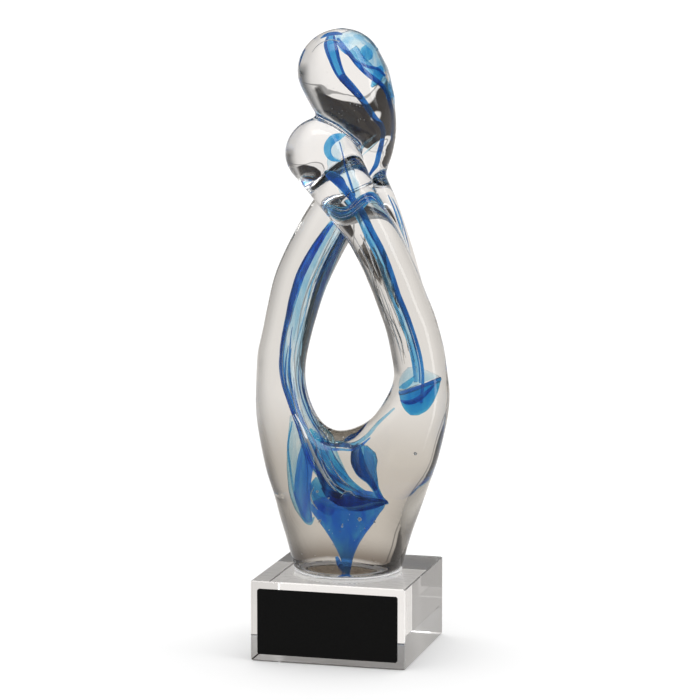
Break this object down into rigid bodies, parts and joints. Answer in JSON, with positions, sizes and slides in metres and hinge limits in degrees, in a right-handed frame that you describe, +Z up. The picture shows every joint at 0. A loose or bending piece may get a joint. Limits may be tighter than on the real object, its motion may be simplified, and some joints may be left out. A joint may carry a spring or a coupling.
{
  "type": "glass sculpture",
  "caption": "Clear glass sculpture of crossing arms that end in bulbs, with blue colour cased inside, bonded to a square crystal block that carries a black plate.",
  "frame": {"origin": "centre of the block's underside", "axes": "+Z up, -Y towards the front face with the plate, +X to the right seen from the front"},
  "size_m": [0.1025, 0.081, 0.316],
  "materials": {
    "clear_glass": "hot-worked, fire polished",
    "crystal": "cut and polished",
    "cobalt_glass": "cased inside the clear glass",
    "sky_glass": "thin veils and threads cased inside the clear glass",
    "bond": "cured clear adhesive",
    "tape": "double-sided tape",
    "plate": "satin black"
  },
  "bodies": {
    "root": {"base_block": "crystal", "foot_bond": "bond", "plate_tape": "tape", "name_plate": "plate", "foot_gather": "clear_glass", "left_arm": "clear_glass", "right_arm": "clear_glass", "upper_bulb": "clear_glass", "lower_bulb": "clear_glass", "blue_core": "cobalt_glass", "blue_leaf": "cobalt_glass", "blue_petal": "cobalt_glass", "arm_ribbon": "cobalt_glass", "arm_veil": "sky_glass", "saddle_thread": "cobalt_glass", "elbow_bowl": "cobalt_glass", "right_arm_thread": "cobalt_glass", "lower_bulb_swirl": "sky_glass", "bulb_thread": "cobalt_glass", "bulb_fine_thread": "cobalt_glass", "bulb_veil": "sky_glass"}
  },
  "joints": []
}
